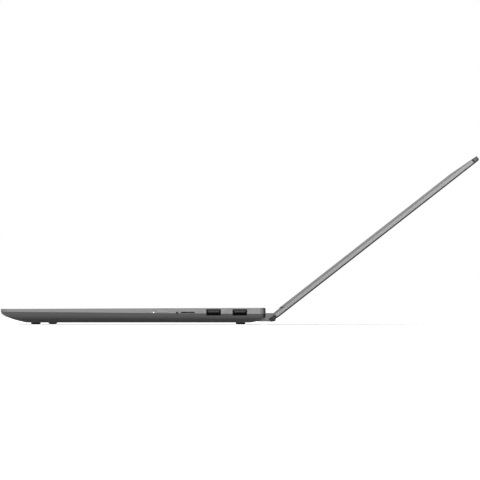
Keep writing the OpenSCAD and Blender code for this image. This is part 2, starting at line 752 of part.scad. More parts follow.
module lid_cover() color("#bdbdbd") in_lid() difference() {
    skinned(concat(
        [for (a = [90:-15:0]) lid_ring(-lid_out + lid_edge_r * (1 - sin(a)), lid_edge_r * (1 - cos(a)))],
        [lid_ring(lid_in - 0.25, 0)]));
    difference() {
        slab(-half_w + lid_rim, half_w - lid_rim, -lid_back + lid_rim, lid_tip - lid_rim,
            -lid_out + lid_skin, 5, corner_r - lid_rim);
        lid_notch_walls();
    }
    block(-half_w - 1, half_w + 1, -lid_back - 1, chin_u, chin_v - 0.03, 5);
    lid_notches();
    lid_shaft_holes(lid_shaft_r + 0.15);
    for (sx = side_sign)
        rod(sx * link_x - 25, sx * link_x - notch_w / 2 - notch_wall, 0, 0, leaf_barrel_r + 0.05);
}

module display_panel() color("#202020") in_lid()
    block(-172, 172, chin_u + 2, lid_tip - 9, lid_in - glass_t - panel_t, lid_in - glass_t - 0.02);

module glass_outline(grow) {
    round_rect(-half_w + lid_rim + gasket_w - grow, half_w - lid_rim - gasket_w + grow,
        chin_u + gasket_w + 0.1 - grow,
        lid_tip - lid_rim - gasket_w + grow, corner_r - lid_rim - gasket_w + grow);
}

module cover_glass() color("#101010") in_lid() difference() {
    translate([0, 0, lid_in - glass_t]) linear_extrude(glass_t) glass_outline(0);
    soft_slab(-1.5, 3.5, lid_tip - 5, lid_tip - 3.6, 0, 5, 0.5);
}

module glass_gasket() color("#1c1c1c") in_lid()
    translate([0, 0, lid_in - glass_t]) linear_extrude(glass_t - 0.05)
    difference() {
        glass_outline(gasket_w - 0.02);
        glass_outline(0.02);
    }

// Strip along the hinge edge, with openings for the links and the lid barrels
module chin_strip() color("#5e5e5e") in_lid() difference() {
    slab(-half_w + lid_rim + 0.05, half_w - lid_rim - 0.05, -lid_back + lid_rim + 0.05, chin_u + corner_r,
        chin_v - 0.6, chin_v, corner_r - lid_rim);
    block(-half_w, half_w, chin_u, chin_u + 2 * corner_r, -5, 5);
    lid_notch_walls();
    for (sx = side_sign) {
        block(sx * link_x - 27, sx * link_x - notch_w / 2, -2, 2, -5, 5);
        block(sx * link_x + notch_w / 2, sx * link_x + 26, -2, 2, -5, 5);
    }
}

module lid_leaf(x0, x1) {
    difference() {
        union() {
            rod(x0, x1, 0, 0, leaf_barrel_r);
            block(x0, x1, 0, 30, -lid_out + lid_skin + 0.05, -0.5);
        }
        rod(x0 - 1, x1 + 1, 0, 0, lid_shaft_r + 0.03);
        for (u = leaf_screw_u) translate([(x0 + x1) / 2, u, -3]) cylinder(h = 4, r = 0.85);
    }
}

lid_leaves = [[link_x - link_w / 2 - 13, link_x - notch_w / 2 - notch_wall - 0.1],
    [link_x + notch_w / 2 + notch_wall + 0.1, link_x + link_w / 2 + 10.5]];

module lid_hinge_leaves() color("#77797b") in_lid() for (s = [0, 1], l = lid_leaves) mirror([s, 0, 0])
    lid_leaf(l[0], l[1]);

module lid_leaf_screws() color("#444444") in_lid()
    for (s = [0, 1], l = lid_leaves, u = leaf_screw_u) mirror([s, 0, 0])
    translate([(l[0] + l[1]) / 2, u, 0]) {
        translate([0, 0, -0.48]) cylinder(h = 0.6, r = 1.6);
        translate([0, 0, -1.7]) cylinder(h = 1.5, r = 0.8);
    }

module camera_module() color("#2a2a2a") in_lid() union() {
    block(-14, 14, lid_tip - 8.6, lid_tip - 2.8, -1.4, 0.5);
    translate([0, lid_tip - 6.4, 0.4]) cylinder(h = 0.45, r = 1.6);
}

// Sliding shutter behind the glass, with a nub that stands in the glass's slot
module camera_shutter() color("#555555") in_lid() union() {
    block(-4.5, -0.6, lid_tip - 8.3, lid_tip - 3.2, 0.95, 1.2);
    block(-1, 1, lid_tip - 4.8, lid_tip - 3.8, 0.95, lid_in - 0.1);
}

module display_cable() color("#8a7a50") in_lid() block(-20, 20, 1, chin_u + 6, -0.55, -0.35);

top_case();
bottom_case();
bottom_screws();
front_feet();
rear_feet();
keyboard_frame();
keyboard_plate();
function_row();
number_row();
upper_row();
home_row();
lower_row();
bottom_row();
space_bar();
enter_key();
arrow_keys();
number_pad();
touchpad();
power_button();
usb_a_shells();
usb_a_tongues();
card_reader();
status_lamp();
usb_c_shells();
usb_c_tongues();
hdmi_shell();
hdmi_tongue();
audio_jack();
main_board();
side_board();
board_ribbon();
processor();
heat_pipe();
heat_sink_fins();
fan_housings();
fan_rotor_left();
fan_rotor_right();
battery_pack();
solid_state_drive();
memory_modules();
wireless_card();
speakers();
hinge_mounts();
hinge_mount_screws();
hinge_shafts();
hinge_link_left();
hinge_link_right();
lid_shafts();
lid_cover();
display_panel();
cover_glass();
glass_gasket();
chin_strip();
lid_hinge_leaves();
lid_leaf_screws();
camera_module();
camera_shutter();
display_cable();
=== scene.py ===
"""Visual model of a 16-inch convertible laptop with two-axis hinge links.

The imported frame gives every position. New pieces are parametric surfaces worked out with numpy, each finish is a
frozen dataclass that makes one procedural material, and each sub-assembly is a class.
"""
import json
import logging
import math
from dataclasses import dataclass
from enum import Enum
from functools import cached_property
from typing import Any, Sequence

import bpy
import numpy as np
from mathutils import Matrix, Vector


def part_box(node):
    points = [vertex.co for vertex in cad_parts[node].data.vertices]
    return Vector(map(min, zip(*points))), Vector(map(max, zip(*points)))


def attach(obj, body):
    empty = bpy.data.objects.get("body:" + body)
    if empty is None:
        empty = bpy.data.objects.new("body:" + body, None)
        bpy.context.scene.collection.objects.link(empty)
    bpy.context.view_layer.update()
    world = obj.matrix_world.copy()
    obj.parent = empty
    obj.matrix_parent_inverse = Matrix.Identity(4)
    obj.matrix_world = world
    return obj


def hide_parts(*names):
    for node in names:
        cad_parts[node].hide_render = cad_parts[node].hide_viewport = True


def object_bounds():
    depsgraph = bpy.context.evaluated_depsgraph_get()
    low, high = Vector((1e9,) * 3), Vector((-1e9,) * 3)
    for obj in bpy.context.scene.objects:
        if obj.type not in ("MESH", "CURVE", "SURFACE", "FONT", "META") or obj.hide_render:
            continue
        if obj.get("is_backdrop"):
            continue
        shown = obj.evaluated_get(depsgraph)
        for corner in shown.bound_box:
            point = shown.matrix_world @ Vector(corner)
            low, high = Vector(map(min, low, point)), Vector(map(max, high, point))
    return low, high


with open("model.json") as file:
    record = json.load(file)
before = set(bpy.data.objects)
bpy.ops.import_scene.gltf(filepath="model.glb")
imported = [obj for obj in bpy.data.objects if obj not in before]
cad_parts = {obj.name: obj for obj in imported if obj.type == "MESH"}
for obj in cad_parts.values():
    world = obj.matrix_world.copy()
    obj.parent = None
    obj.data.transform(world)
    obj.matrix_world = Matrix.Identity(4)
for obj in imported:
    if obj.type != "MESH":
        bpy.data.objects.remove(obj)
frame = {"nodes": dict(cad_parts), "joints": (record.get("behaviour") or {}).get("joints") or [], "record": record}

log = logging.getLogger("laptop")
logging.basicConfig(level=logging.INFO, format="%(name)s: %(message)s")

MM = 0.001
PRINT_LIFT = 0.06 * MM
GLASS_THICK = 0.7 * MM
CAP_HEIGHT = 1.5 * MM
LID_LEAN = math.radians(38.02)
LID_SHAFT = next(tuple(joint["pos_m"]) for joint in frame["joints"] if joint["name"] == "lid_turn")


class MetalSurface(Enum):
    """How a worked metal's lines run: the stretch of its line texture along X."""

    DRAWN = 0.06
    TUMBLED = 1.0


# ---- colours and nodes ----


def linear(hex_colour: str) -> tuple[float, float, float, float]:
    """Turn an sRGB hex colour into linear RGBA.

    Args:
        hex_colour: six hex digits, with or without a leading #.

    Returns:
        Linear red, green and blue, with alpha 1.
    """
    digits = hex_colour.lstrip("#")
    srgb = [int(digits[i:i + 2], 16) / 255 for i in (0, 2, 4)]
    rgb = [c / 12.92 if c <= 0.04045 else ((c + 0.055) / 1.055) ** 2.4 for c in srgb]
    return (*rgb, 1.0)


def add_node(tree: bpy.types.NodeTree, kind: str, settings: dict[str, Any] | None = None,
             links: dict[str | int, Any] | None = None) -> bpy.types.Node:
    """Add a node, set its properties or input values, and link its inputs.

    Args:
        tree: the node tree to add to.
        kind: the node's type name.
        settings: property names, or input names or numbers, with their values.
        links: input names or numbers, with the output sockets that feed them.

    Returns:
        The new node.
    """
    node = tree.nodes.new(kind)
    for key, value in (settings or {}).items():
        if isinstance(key, str) and hasattr(node, key):
            setattr(node, key, value)
        else:
            node.inputs[key].default_value = value
    for key, socket in (links or {}).items():
        tree.links.new(socket, node.inputs[key])
    return node


def two_tone(tree: bpy.types.NodeTree, factor: Any, low: str, high: str) -> bpy.types.NodeSocket:
    """Blend two hex colours by a factor.

    Args:
        tree: the node tree to add to.
        factor: the output socket that blends, 0 to 1.
        low: hex colour where the factor is low.
        high: hex colour where the factor is high.

    Returns:
        The blended colour's output socket.
    """
    ramp = add_node(tree, "ShaderNodeValToRGB", links={"Fac": factor})
    ramp.color_ramp.elements[0].color = linear(low)
    ramp.color_ramp.elements[1].color = linear(high)
    ramp.color_ramp.elements[0].position = 0.3
    ramp.color_ramp.elements[1].position = 0.7
    return ramp.outputs["Color"]


# ---- finishes ----


@dataclass(frozen=True)
class Finish:
    """A finish with a name, made into a material by its own pattern of nodes."""

    name: str

    def pattern(self, tree: bpy.types.NodeTree, where: Any) -> dict[str, Any]:
        """Build the finish's nodes.

        Args:
            tree: the node tree to add to.
            where: the output socket of the Object coordinates.

        Returns:
            The shader's input names, with their values or the output sockets that feed them, and under Bump a height
            socket with the bump's strength and its distance in millimetres.
        """
        raise NotImplementedError

    def make(self) -> bpy.types.Material:
        """Build the finish.

        Returns:
            A procedural material.
        """
        material = bpy.data.materials.new(self.name)
        material.use_nodes = True
        tree = material.node_tree
        shader = tree.nodes["Principled BSDF"]
        where = add_node(tree, "ShaderNodeTexCoord").outputs["Object"]
        inputs = self.pattern(tree, where)
        if "Bump" in inputs:
            height, strength, distance_mm = inputs.pop("Bump")
            bump = add_node(tree, "ShaderNodeBump", {"Strength": strength, "Distance": distance_mm * MM},
                            {"Height": height})
            inputs["Normal"] = bump.outputs["Normal"]
        for key, value in inputs.items():
            if isinstance(value, bpy.types.NodeSocket):
                tree.links.new(value, shader.inputs[key])
            else:
                shader.inputs[key].default_value = value
        return material


@dataclass(frozen=True)
class BlastedAluminium(Finish):
    """Bead-blasted, anodised aluminium: a matte metal with a fine sandy grain and a broad, soft highlight.

    The blast pits are about 0.08 mm wide, too fine to show, so the grain is drawn at grain_mm.
    Handling leaves faint cloudy patches, cloud_mm across, that change the gloss a little.
    """

    low: str
    high: str
    roughness: float = 0.42
    grain_mm: float = 0.35
    cloud_mm: float = 45.0
    depth: float = 0.06

    def pattern(self, tree: bpy.types.NodeTree, where: Any) -> dict[str, Any]:
        """Fine grain in the colour and the bump, with cloudy gloss.

        Args:
            tree: the node tree to add to.
            where: the Object coordinates.

        Returns:
            The shader's inputs.
        """
        grain = add_node(tree, "ShaderNodeTexNoise", {"Scale": 1 / (self.grain_mm * MM), "Detail": 3.0},
                         {"Vector": where})
        cloud = add_node(tree, "ShaderNodeTexNoise", {"Scale": 1 / (self.cloud_mm * MM), "Detail": 4.0},
                         {"Vector": where})
        gloss = add_node(tree, "ShaderNodeMapRange",
                         {"To Min": self.roughness - 0.05, "To Max": self.roughness + 0.06},
                         {"Value": cloud.outputs["Fac"]})
        return {"Metallic": 1.0,
                "Base Color": two_tone(tree, grain.outputs["Fac"], self.low, self.high),
                "Roughness": gloss.outputs["Result"], "Bump": (grain.outputs["Fac"], self.depth, self.grain_mm)}


@dataclass(frozen=True)
class LidAluminium(Finish):
    """Anodised aluminium of the lid: a bright band along its sides, with the cover and the end by the shaft painted
    dark as painted shade.

    The dark tone of the outer cover is painted shade for the faces that turn down towards the shadowed floor, and the
    dark end by the shaft is painted shade where the lid meets the base. The band starts at band_v across the lid and
    band_u along it from the shaft, and a dark plastic antenna break crosses it near the tip. The blast grain is drawn
    at grain_mm.
    """

    cover: str
    band: str
    band_v: float = -1.35 * MM
    band_u: float = 3.2 * MM
    break_u: tuple[float, float] = (240.2 * MM, 242.0 * MM)
    roughness: float = 0.42
    grain_mm: float = 0.35

    def pattern(self, tree: bpy.types.NodeTree, where: Any) -> dict[str, Any]:
        """A bright side band, crossed by the break, over a cover painted dark as painted shade, under a fine grain.

        Args:
            tree: the node tree to add to.
            where: the Object coordinates.

        Returns:
            The shader's inputs.
        """
        local = add_node(tree, "ShaderNodeMapping",
                         {"vector_type": "TEXTURE", "Location": LID_SHAFT, "Rotation": (LID_LEAN, 0, 0)},
                         {"Vector": where})
        parts = add_node(tree, "ShaderNodeSeparateXYZ", links={"Vector": local.outputs["Vector"]})
        # painted shade: outside the side band, and below band_u by the shaft, the lid takes the dark cover colour
        near_glass = add_node(tree, "ShaderNodeMath", {"operation": "GREATER_THAN", 1: self.band_v},
                              {0: parts.outputs["Z"]})
        past_hinge = add_node(tree, "ShaderNodeMath", {"operation": "GREATER_THAN", 1: self.band_u},
                              {0: parts.outputs["Y"]})
        in_break = add_node(tree, "ShaderNodeMath",
                            {"operation": "COMPARE", 1: sum(self.break_u) / 2,
                             2: (self.break_u[1] - self.break_u[0]) / 2},
                            {0: parts.outputs["Y"]})
        unbroken = add_node(tree, "ShaderNodeMath", {"operation": "SUBTRACT", 0: 1.0}, {1: in_break.outputs[0]})
        side_band = add_node(tree, "ShaderNodeMath", {"operation": "MULTIPLY"},
                             {0: near_glass.outputs[0], 1: past_hinge.outputs[0]})
        band = add_node(tree, "ShaderNodeMath", {"operation": "MULTIPLY"},
                        {0: side_band.outputs[0], 1: unbroken.outputs[0]}).outputs[0]
        grain = add_node(tree, "ShaderNodeTexNoise", {"Scale": 1 / (self.grain_mm * MM), "Detail": 3.0},
                         {"Vector": where})
        gloss = add_node(tree, "ShaderNodeMapRange",
                         {"To Min": self.roughness - 0.05, "To Max": self.roughness + 0.06},
                         {"Value": grain.outputs["Fac"]})
        return {"Metallic": 1.0,
                "Base Color": two_tone(tree, band, self.cover, self.band),
                "Roughness": gloss.outputs["Result"], "Bump": (grain.outputs["Fac"], 0.06, self.grain_mm)}


@dataclass(frozen=True)
class MouldedPlastic(Finish):
    """Injection-moulded ABS or nylon: spark-eroded texture, pebbly and even, with a dull sheen.

    The texture's pebbles are about 0.15 mm wide on the real part and are drawn at pebble_mm.
    """

    low: str
    high: str
    roughness: float = 0.55
    pebble_mm: float = 0.3
    depth: float = 0.12
    coat: float = 0.0

    def pattern(self, tree: bpy.types.NodeTree, where: Any) -> dict[str, Any]:
        """Faint haze in the colour over a pebbled bump.

        Args:
            tree: the node tree to add to.
            where: the Object coordinates.

        Returns:
            The shader's inputs.
        """
        pebbles = add_node(tree, "ShaderNodeTexVoronoi",
                           {"feature": "SMOOTH_F1", "Scale": 1 / (self.pebble_mm * MM)}, {"Vector": where})
        haze = add_node(tree, "ShaderNodeTexNoise", {"Scale": 1 / (18 * MM), "Detail": 3.0}, {"Vector": where})
        return {"IOR": 1.53, "Coat Weight": self.coat, "Roughness": self.roughness,
                "Base Color": two_tone(tree, haze.outputs["Fac"], self.low, self.high),
                "Bump": (pebbles.outputs["Distance"], self.depth, self.pebble_mm)}


@dataclass(frozen=True)
class MouldedRubber(Finish):
    """Compression-moulded silicone rubber: very dull, with dust-grey mottling and a faint skin texture."""

    low: str
    high: str
    roughness: float = 0.78
    mottle_mm: float = 1.6

    def pattern(self, tree: bpy.types.NodeTree, where: Any) -> dict[str, Any]:
        """Mottling in the colour and the bump.

        Args:
            tree: the node tree to add to.
            where: the Object coordinates.

        Returns:
            The shader's inputs.
        """
        mottle = add_node(tree, "ShaderNodeTexNoise", {"Scale": 1 / (self.mottle_mm * MM), "Detail": 5.0},
                          {"Vector": where})
        return {"IOR": 1.43, "Roughness": self.roughness, "Sheen Weight": 0.15, "Sheen Roughness": 0.5,
                "Base Color": two_tone(tree, mottle.outputs["Fac"], self.low, self.high),
                "Bump": (mottle.outputs["Fac"], 0.15, 0.2)}


@dataclass(frozen=True)
class WorkedMetal(Finish):
    """Stamped, ground or drawn metal: scratches from the die, the wheel or the tumbler, brighter than blasted metal.

    The scratches are about 0.05 mm apart on the real part and are drawn at line_mm.
    """

    low: str
    high: str
    roughness: float = 0.3
    line_mm: float = 0.25
    surface: MetalSurface = MetalSurface.DRAWN

    def pattern(self, tree: bpy.types.NodeTree, where: Any) -> dict[str, Any]:
        """Scratches in the colour, the gloss and the bump.

        Args:
            tree: the node tree to add to.
            where: the Object coordinates.

        Returns:
            The shader's inputs.
        """
        along = add_node(tree, "ShaderNodeMapping", {"Scale": (self.surface.value, 1, 1)}, {"Vector": where})
        lines = add_node(tree, "ShaderNodeTexNoise", {"Scale": 1 / (self.line_mm * MM), "Detail": 2.0},
                         {"Vector": along.outputs["Vector"]})
        gloss = add_node(tree, "ShaderNodeMapRange",
                         {"To Min": self.roughness - 0.06, "To Max": self.roughness + 0.1},
                         {"Value": lines.outputs["Fac"]})
        return {"Metallic": 1.0,
                "Base Color": two_tone(tree, lines.outputs["Fac"], self.low, self.high),
                "Roughness": gloss.outputs["Result"], "Bump": (lines.outputs["Fac"], 0.08, self.line_mm)}


@dataclass(frozen=True)
class CoatedGlass(Finish):
    """Display glass with an oil-repellent coat over black print: near-black, sharp gloss, faint smears.

    The lit area is a shade greyer than the printed border; both are found in the lid's own directions.
    """

    border: str
    screen: str
    roughness: float = 0.07
    smear_mm: float = 30.0
    side_border: float = 4.5 * MM
    end_border: float = 9.0 * MM

    def pattern(self, tree: bpy.types.NodeTree, where: Any) -> dict[str, Any]:
        """A printed border round the screen, under faint smears in the gloss.

        Args:
            tree: the node tree to add to.
            where: the Object coordinates.

        Returns:
            The shader's inputs.
        """
        low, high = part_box("cover_glass")
        centre = (low + high) / 2
        local = add_node(tree, "ShaderNodeMapping",
                         {"vector_type": "TEXTURE", "Location": tuple(centre), "Rotation": (LID_LEAN, 0, 0)},
                         {"Vector": where})
        parts = add_node(tree, "ShaderNodeSeparateXYZ", links={"Vector": local.outputs["Vector"]})
        across = add_node(tree, "ShaderNodeMath", {"operation": "ABSOLUTE"}, {0: parts.outputs["X"]})
        along = add_node(tree, "ShaderNodeMath", {"operation": "ABSOLUTE"}, {0: parts.outputs["Y"]})
        half_x = (high.x - low.x) / 2 - self.side_border
        half_u = math.hypot(high.y - low.y, high.z - low.z) / 2 - self.end_border
        in_x = add_node(tree, "ShaderNodeMath", {"operation": "LESS_THAN", 1: half_x}, {0: across.outputs[0]})
        in_u = add_node(tree, "ShaderNodeMath", {"operation": "LESS_THAN", 1: half_u}, {0: along.outputs[0]})
        both = add_node(tree, "ShaderNodeMath", {"operation": "MULTIPLY"}, {0: in_x.outputs[0], 1: in_u.outputs[0]})
        smear = add_node(tree, "ShaderNodeTexNoise",
                         {"Scale": 1 / (self.smear_mm * MM), "Detail": 5.0, "Distortion": 1.2}, {"Vector": where})
        gloss = add_node(tree, "ShaderNodeMapRange",
                         {"From Min": 0.45, "From Max": 0.7, "To Min": self.roughness,
                          "To Max": self.roughness + 0.07},
                         {"Value": smear.outputs["Fac"]})
        return {"IOR": 1.5, "Specular IOR Level": 0.3,
                "Base Color": two_tone(tree, both.outputs[0], self.border, self.screen),
                "Roughness": gloss.outputs["Result"]}


@dataclass(frozen=True)
class EtchedGlass(Finish):
    """Acid-etched, back-painted touchpad glass: silky, with an even micro-grain and a soft coat."""

    low: str
    high: str
    roughness: float = 0.36
    grain_mm: float = 0.4

    def pattern(self, tree: bpy.types.NodeTree, where: Any) -> dict[str, Any]:
        """A micro-grain in the colour and the bump.

        Args:
            tree: the node tree to add to.
            where: the Object coordinates.

        Returns:
            The shader's inputs.
        """
        grain = add_node(tree, "ShaderNodeTexNoise", {"Scale": 1 / (self.grain_mm * MM), "Detail": 2.0},
                         {"Vector": where})
        return {"IOR": 1.5, "Roughness": self.roughness, "Metallic": 0.35, "Coat Weight": 0.2, "Coat Roughness": 0.3,
                "Base Color": two_tone(tree, grain.outputs["Fac"], self.low, self.high),
                "Bump": (grain.outputs["Fac"], 0.03, 0.1)}


@dataclass(frozen=True)
class CircuitLaminate(Finish):
    """Glass-epoxy board under solder mask: traces and pads show through as a fine rectangular mesh."""

    mask: str
    copper: str
    pitch_mm: float = 1.27

    def pattern(self, tree: bpy.types.NodeTree, where: Any) -> dict[str, Any]:
        """A rectangular mesh of traces in the colour and the bump.

        Args:
            tree: the node tree to add to.
            where: the Object coordinates.

        Returns:
            The shader's inputs.
        """
        traces = add_node(tree, "ShaderNodeTexBrick",
                          {"Scale": 1 / (self.pitch_mm * MM), "Mortar Size": 0.08, "Mortar Smooth": 0.2,
                           "Color1": linear(self.mask), "Color2": linear(self.mask), "Mortar": linear(self.copper)},
                          {"Vector": where})
        return {"IOR": 1.55, "Roughness": 0.32, "Coat Weight": 0.4,
                "Base Color": traces.outputs["Color"], "Bump": (traces.outputs["Fac"], 0.1, 0.05)}


@dataclass(frozen=True)
class LightGuide(Finish):
    """Clear plastic light guide, lit from behind by a white lamp, with a faint haze in its colour."""

    colour: str
    strength: float = 0.35

    def pattern(self, tree: bpy.types.NodeTree, where: Any) -> dict[str, Any]:
        """A faint haze in the colour.

        Args:
            tree: the node tree to add to.
            where: the Object coordinates.

        Returns:
            The shader's inputs.
        """
        haze = add_node(tree, "ShaderNodeTexNoise", {"Scale": 1 / (0.4 * MM)}, {"Vector": where})
        return {"Roughness": 0.2, "IOR": 1.49, "Emission Strength": self.strength,
                "Emission Color": linear(self.colour),
                "Base Color": two_tone(tree, haze.outputs["Fac"], "e8e8e8", self.colour)}


FINISHES: dict[str, Finish] = {
    "upper_aluminium": BlastedAluminium("anodised_aluminium_deck", "818181", "898989"),
    # painted shade: the deck's aluminium darkened to stand in for the shade on the downward-curving lower shell
    "lower_aluminium": BlastedAluminium("anodised_aluminium_underside_painted_shade", "4a4a4a", "525252", roughness=0.38),
    # painted shade: the lid's dark cover colour stands in for shade on its down-turned faces and at the hinge end
    "lid_aluminium": LidAluminium("anodised_aluminium_lid_painted_shade", "3a3a3a", "8c8c8c"),
    "keyboard_frame_aluminium": BlastedAluminium("anodised_aluminium_key_frame", "6c6c6c", "747474"),
    "button_aluminium": BlastedAluminium("anodised_aluminium_button", "8a8a8a", "929292", roughness=0.34),
    "chin_aluminium": BlastedAluminium("anodised_aluminium_chin", "5c5c5c", "646464"),
    "fin_aluminium": WorkedMetal("drawn_aluminium_fins", "9c9ea0", "b0b2b4"),
    "screw_steel": WorkedMetal("black_oxide_screw_steel", "2c2c2c", "3a3a3a", line_mm=0.2,
                               surface=MetalSurface.TUMBLED),
    "keyboard_plate_steel": WorkedMetal("coated_steel_key_plate", "2a2a2a", "303030", roughness=0.5),
    "port_steel": WorkedMetal("black_nickel_port_steel", "1c1c1d", "2a2a2b", roughness=0.4),
    "hinge_steel": WorkedMetal("stamped_hinge_steel", "6e7072", "828486"),
    "shaft_steel": WorkedMetal("ground_shaft_steel", "a8aaac", "bcbec0", roughness=0.22),
    "link_metal": BlastedAluminium("satin_hinge_link", "828282", "8a8a8a", roughness=0.36),
    "heat_pipe_copper": WorkedMetal("drawn_copper_pipe", "b0704e", "c58562"),
    "battery_foil": MouldedPlastic("battery_film", "202022", "262628", roughness=0.35, coat=0.2),
    "foot_rubber": MouldedRubber("silicone_foot_rubber", "262626", "303030"),
    "gasket_rubber": MouldedRubber("silicone_gasket_rubber", "1c1c1c", "242424", mottle_mm=1.0),
    "key_plastic": MouldedPlastic("key_abs", "262626", "2d2d2d", roughness=0.5),
    "port_plastic": MouldedPlastic("port_nylon", "2c2c2c", "343434", roughness=0.5),
    "fan_plastic": MouldedPlastic("fan_pbt", "1a1a1a", "202020"),
    "camera_plastic": MouldedPlastic("camera_abs", "161616", "1e1e1e", roughness=0.4),
    "chip_package": MouldedPlastic("chip_epoxy", "242628", "2c2e30", roughness=0.4),
    "flex_cable": MouldedPlastic("polyimide_flex", "8a6420", "9c7428", roughness=0.3, coat=0.3),
    "display_layers": MouldedPlastic("display_films", "1a1a1c", "202022", roughness=0.25),
    "lamp_plastic": LightGuide("lit_light_guide", "ffffff"),
    "circuit_board": CircuitLaminate("board_laminate", "12321f", "3a5a34"),
    "touchpad_glass": EtchedGlass("etched_touchpad_glass", "565656", "5e5e5e"),
    "display_glass": CoatedGlass("coated_display_glass", "060606", "101011"),
}
EXTRA_FINISHES: dict[str, Finish] = {
    "legend": MouldedPlastic("key_legend_print", "b8b8b8", "c4c4c4", roughness=0.6, depth=0.02),
    "gold": WorkedMetal("gold_plated_contact", "8a6c3a", "a08048", roughness=0.25, line_mm=0.15),
    "chamfer": WorkedMetal("diamond_cut_edge", "c8c8c8", "d6d6d6", roughness=0.16, line_mm=0.2),
    "lens": CoatedGlass("camera_lens_glass", "050508", "08080c", roughness=0.03),
    "mark": MouldedPlastic("laser_etched_mark", "585858", "606060", roughness=0.7, depth=0.02),
}


# ---- surfaces ----

Surface = tuple[np.ndarray, list[list[int]]]


def rounded_outline(width: float, depth: float, radius: float, per_corner: int = 6) -> np.ndarray:
    """Outline of a rounded rectangle about the origin, anticlockwise.

    Each corner is a quarter circle: centre plus radius times (cos a, sin a), with a in equal steps.

    Args:
        width: size along x.
        depth: size along y.
        radius: corner radius.
        per_corner: points on each corner.

    Returns:
        Array of shape (4 * per_corner, 2).
    """
    quarter = np.linspace(0, math.pi / 2, per_corner)
    angles = (quarter[None, :] + np.arange(4)[:, None] * math.pi / 2).ravel()
    signs = np.repeat(np.array([[1, 1], [-1, 1], [-1, -1], [1, -1]]), per_corner, axis=0)
    centres = signs * (np.array([width, depth]) / 2 - radius)
    return centres + radius * np.column_stack([np.cos(angles), np.sin(angles)])


def inset_rings(size: Sequence[float], insets: Sequence[float], heights: Sequence[float],
                radii: tuple[float, float], per_corner: int) -> np.ndarray:
    """Rings of a rounded block: at each height its outline, drawn in on every side by that height's inset.

    Args:
        size: width and depth of the block.
        insets: how far each ring is drawn in.
        heights: height of each ring, the lowest first.
        radii: the corner radius, which shrinks by the inset, and the least it may be.
        per_corner: points on each corner.

    Returns:
        Array of shape (rings, 4 * per_corner, 3).
    """
    return np.array([np.column_stack([rounded_outline(size[0] - 2 * inset, size[1] - 2 * inset,
                                                      max(radii[0] - inset, radii[1]), per_corner),
                                      np.full(4 * per_corner, height)]) for inset, height in zip(insets, heights)])


def mesh_piece(name: str, surface: Surface, finish: str, body: str,
               smooth: float = 35.0) -> bpy.types.Object:
    """Put a surface into a new object that rides on a body.

    Args:
        name: the piece's name.
        surface: points in the row frame, metres, and the vertex numbers of each face.
        finish: key of its finish.
        body: the CAD body it rides on.
        smooth: edges sharper than this angle stay sharp, in degrees.

    Returns:
        The object, at the origin with its place in its mesh.
    """
    points, faces = surface
    mesh = bpy.data.meshes.new(name)
    mesh.from_pydata(points.tolist(), [], faces)
    mesh.update()
    mesh.shade_smooth()
    mesh.set_sharp_from_angle(angle=math.radians(smooth))
    piece = bpy.data.objects.new(name, mesh)
    bpy.context.scene.collection.objects.link(piece)
    mesh.materials.append(Wardrobe.material(finish))
    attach(piece, body)
    log.info("%s: %d faces on %s", name, len(faces), body)
    return piece


def stacked_rings(rings: np.ndarray) -> Surface:
    """Close a stack of rings with a pole at each end.

    Quads join point i and its neighbour on one ring to the same two on the next ring up, and triangles join the
    lowest and the highest ring to the mean of their points.

    Args:
        rings: array of shape (rings, points, 3), each anticlockwise from above, the lowest first.

    Returns:
        Points and faces of the closed surface.
    """
    levels, count, _ = rings.shape
    points = np.concatenate([rings.reshape(-1, 3), rings[:1].mean(axis=1), rings[-1:].mean(axis=1)])
    i = np.arange(count)
    j = (i + 1) % count
    bottom, top = levels * count, levels * count + 1
    last = (levels - 1) * count
    level = np.arange(levels - 1)[:, None] * count
    quads = np.stack([level + i, level + j, level + j + count, level + i + count], axis=-1).reshape(-1, 4)
    faces = quads.tolist()
    faces += np.column_stack([np.full(count, bottom), j, i]).tolist()
    faces += np.column_stack([np.full(count, top), last + i, last + j]).tolist()
    return points, faces


def joined(parts: Sequence[Surface]) -> Surface:
    """Join several surfaces into one.

    Args:
        parts: points and faces of each surface, numbered from 0 each.

    Returns:
        Points and faces of all of them, numbered on from one surface to the next.
    """
    points = np.concatenate([part_points for part_points, _ in parts])
    starts = np.cumsum([0] + [len(part_points) for part_points, _ in parts])
    faces = [(np.array(face) + start).tolist() for start, (_, part_faces) in zip(starts, parts)
             for face in part_faces]
    return points, faces


def lathe(profile: np.ndarray, count: int = 48) -> Surface:
    """Turn a profile round the z axis and close its ends at poles on the axis.

    Args:
        profile: (radius, height) rows, the lowest first.
        count: steps round the axis.

    Returns:
        Points and faces of the closed surface.
    """
    turn = np.linspace(0, 2 * math.pi, count, endpoint=False)
    rings = np.stack([profile[:, 0, None] * np.cos(turn), profile[:, 0, None] * np.sin(turn),
                      np.repeat(profile[:, 1, None], count, axis=1)], axis=-1)
    return stacked_rings(rings)


def bar(low: Sequence[float], high: Sequence[float], edge: float) -> Surface:
    """Bar between two corners with rounded edges: a rounded outline in plan, drawn in by edge at both ends.

    Args:
        low: the corner with the smallest x, y and z.
        high: the opposite corner.
        edge: size of the rounding.

    Returns:
        Points and faces of the closed bar.
    """
    low, high = np.array(low, float), np.array(high, float)
    size = high - low
    edge = min(edge, size.min() / 2.2)
    insets = np.array([edge, 0.3 * edge, 0, 0, 0.3 * edge, edge])
    heights = np.array([0, 0.3 * edge, edge, size[2] - edge, size[2] - 0.3 * edge, size[2]])
    points, faces = stacked_rings(inset_rings(size[:2], insets, heights, (edge * 1.2, edge * 0.2), 4))
    return points + np.array([*(low + high)[:2] / 2, low[2]]), faces


